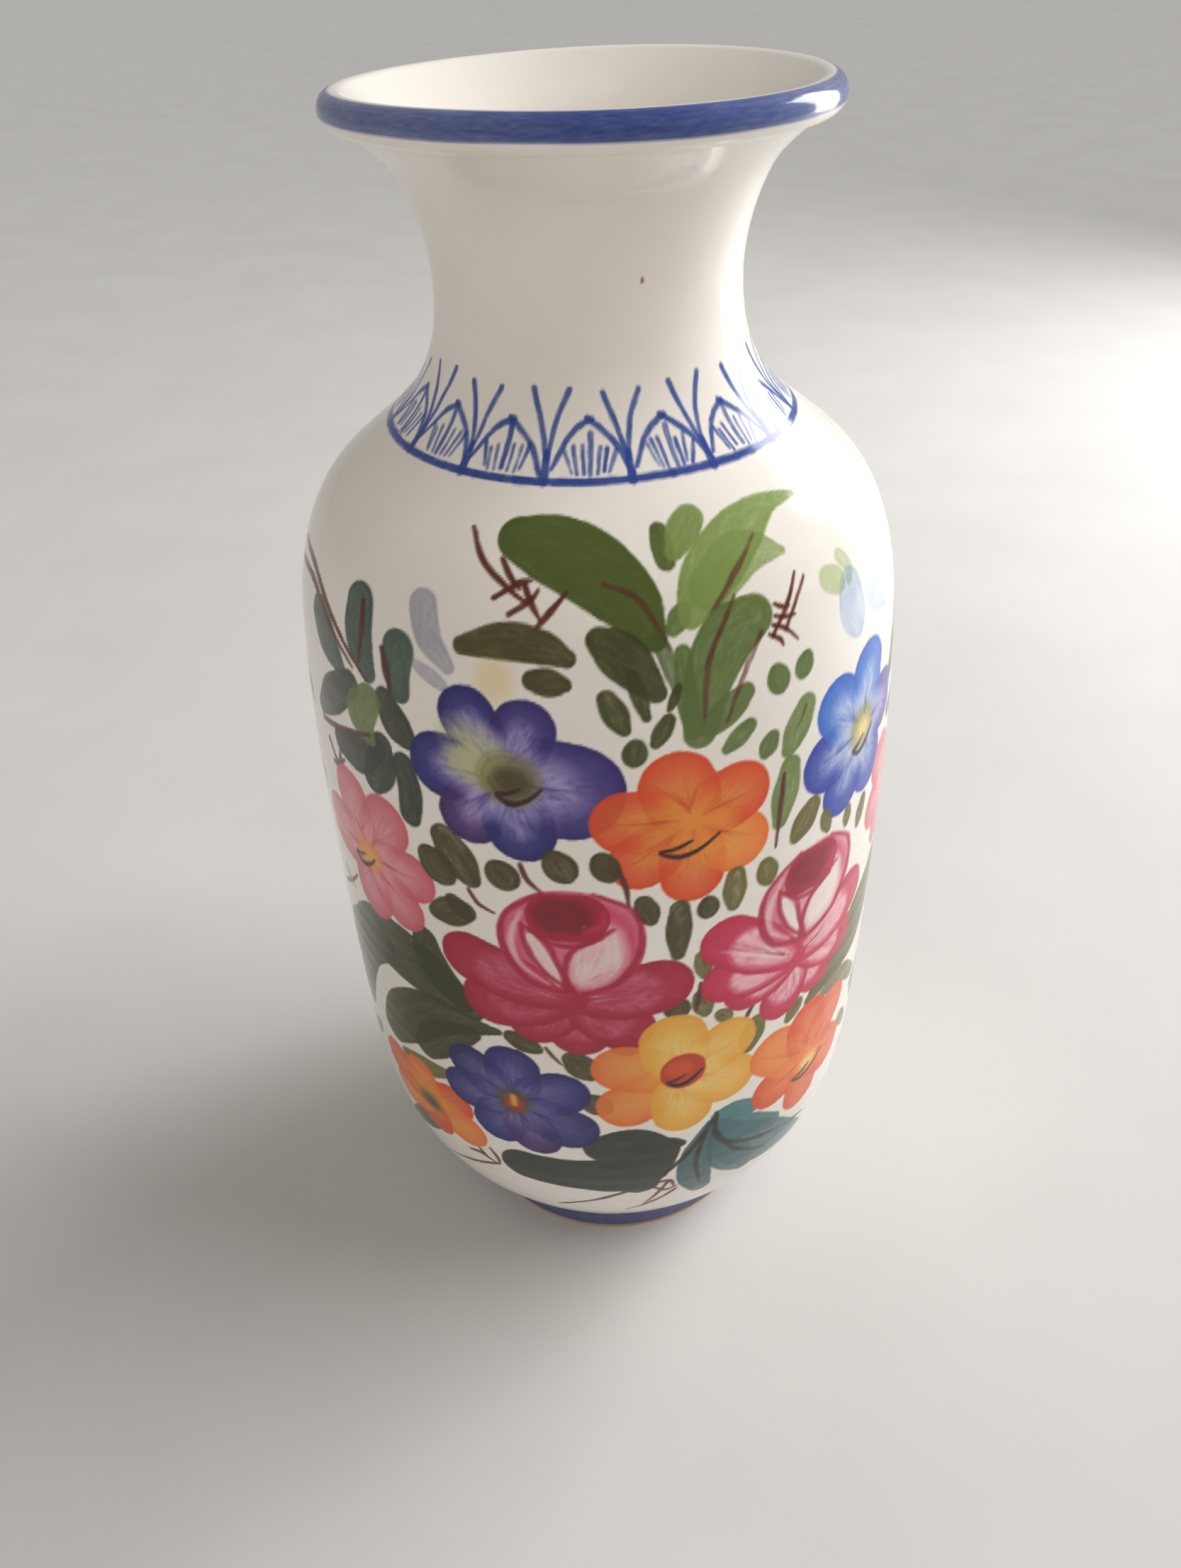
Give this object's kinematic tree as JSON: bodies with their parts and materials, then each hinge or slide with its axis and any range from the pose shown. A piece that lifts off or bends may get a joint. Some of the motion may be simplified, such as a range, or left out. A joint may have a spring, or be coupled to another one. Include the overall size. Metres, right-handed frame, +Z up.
{
  "type": "vase",
  "caption": "Baluster pottery vase with a tall barrel body, low foot, waisted neck and flared, rolled mouth, painted with a bouquet; holds cut flowers or stands as an ornament.",
  "frame": {"origin": "middle of the foot's flat underside, on the surface that the vase stands on", "axes": "+Z up along the axis of the pot, through the middle of the mouth; -Y towards the painted front"},
  "size_m": [0.1338, 0.1338, 0.28],
  "materials": {
    "foot_glaze": "gloss",
    "bare_clay": "matte",
    "lower_body_glaze": "gloss",
    "upper_body_glaze": "gloss",
    "neck_glaze": "gloss",
    "rim_glaze": "gloss"
  },
  "bodies": {
    "root": {"foot_ring": "foot_glaze", "base_disc": "bare_clay", "lower_body": "lower_body_glaze", "upper_body": "upper_body_glaze", "neck": "neck_glaze", "rim_roll": "rim_glaze"}
  },
  "joints": []
}
